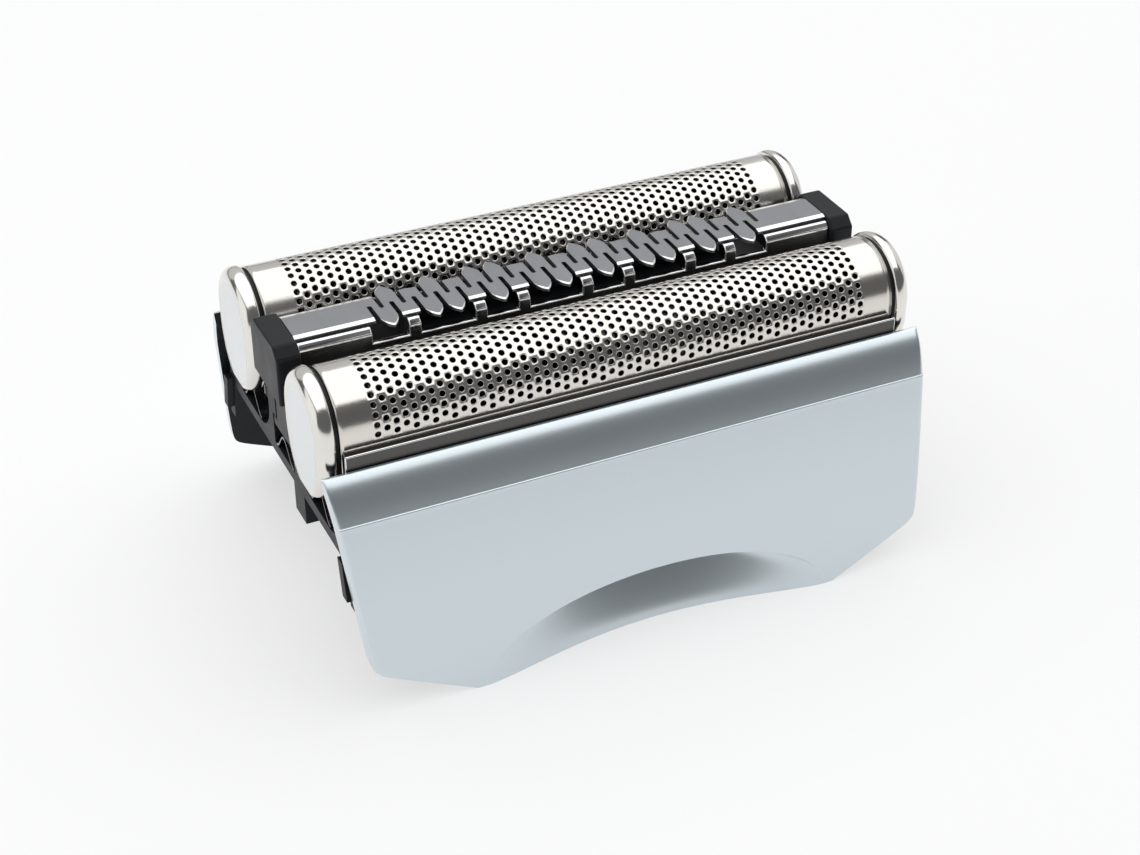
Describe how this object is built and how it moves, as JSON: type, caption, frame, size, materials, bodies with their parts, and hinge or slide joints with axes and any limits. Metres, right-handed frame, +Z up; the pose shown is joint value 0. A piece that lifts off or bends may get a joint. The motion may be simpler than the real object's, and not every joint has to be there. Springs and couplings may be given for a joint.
{
  "type": "shaver foil head",
  "caption": "Foil head for an electric shaver: sprung perforated foils on each side of a toothed trimmer, between two flared silver skirts that clip over the drive head.",
  "frame": {"origin": "midway between the two skirts' feet, on the plane they stand on", "axes": "+X along the foils, +Y from the front skirt to the rear skirt, +Z up through the foils"},
  "size_m": [0.0542, 0.0396, 0.0268],
  "materials": {
    "frame_black": "fine moulded black",
    "skirt_silver": "satin silver lacquer",
    "foil_nickel": "bright electroformed nickel",
    "carrier_grey": "dark metallic grey",
    "cap_nickel": "polished edge with a satin face",
    "spring_steel": "bright spring strip",
    "cutter_steel": "ground steel",
    "slider_black": "moulded black",
    "comb_gunmetal": "dark ground steel with bright edges",
    "channel_steel": "dark steel",
    "block_black": "smooth moulded black"
  },
  "bodies": {
    "base": {"frame": "frame_black", "front_skirt": "skirt_silver", "rear_skirt": "skirt_silver", "front_left_spring": "spring_steel", "front_right_spring": "spring_steel", "rear_left_spring": "spring_steel", "rear_right_spring": "spring_steel", "trimmer_left_spring": "spring_steel", "trimmer_right_spring": "spring_steel"},
    "front_cartridge": {"front_foil": "foil_nickel", "front_carrier": "carrier_grey", "front_left_cap": "cap_nickel", "front_right_cap": "cap_nickel"},
    "front_cutter": {"front_cutter_blades": "cutter_steel", "front_cutter_carrier": "slider_black"},
    "rear_cartridge": {"rear_foil": "foil_nickel", "rear_carrier": "carrier_grey", "rear_left_cap": "cap_nickel", "rear_right_cap": "cap_nickel"},
    "rear_cutter": {"rear_cutter_blades": "cutter_steel", "rear_cutter_carrier": "slider_black"},
    "trimmer": {"trimmer_comb": "comb_gunmetal", "trimmer_channel": "channel_steel", "trimmer_left_block": "block_black", "trimmer_right_block": "block_black"},
    "trimmer_cutter": {"trimmer_blade": "cutter_steel", "trimmer_slider": "slider_black"}
  },
  "joints": [
    {"name": "front_foil_float", "type": "slide", "parent": "base", "child": "front_cartridge", "axis": [0, 0, 1], "range_m": [-0.002, 0], "stiffness_N_per_m": 400, "springref_m": 0.0015, "deforming": ["front_left_spring", "front_right_spring"]},
    {"name": "rear_foil_float", "type": "slide", "parent": "base", "child": "rear_cartridge", "axis": [0, 0, 1], "range_m": [-0.002, 0], "stiffness_N_per_m": 400, "springref_m": 0.0015, "deforming": ["rear_left_spring", "rear_right_spring"]},
    {"name": "trimmer_float", "type": "slide", "parent": "base", "child": "trimmer", "axis": [0, 0, 1], "range_m": [-0.0015, 0], "stiffness_N_per_m": 400, "springref_m": 0.0015, "deforming": ["trimmer_left_spring", "trimmer_right_spring"]},
    {"name": "front_cutter_stroke", "type": "slide", "parent": "front_cartridge", "child": "front_cutter", "axis": [1, 0, 0], "range_m": [-0.0009, 0.0009]},
    {"name": "rear_cutter_stroke", "type": "slide", "parent": "rear_cartridge", "child": "rear_cutter", "axis": [1, 0, 0], "range_m": [-0.0009, 0.0009]},
    {"name": "trimmer_stroke", "type": "slide", "parent": "trimmer", "child": "trimmer_cutter", "axis": [1, 0, 0], "range_m": [-0.0008, 0.0008]}
  ]
}
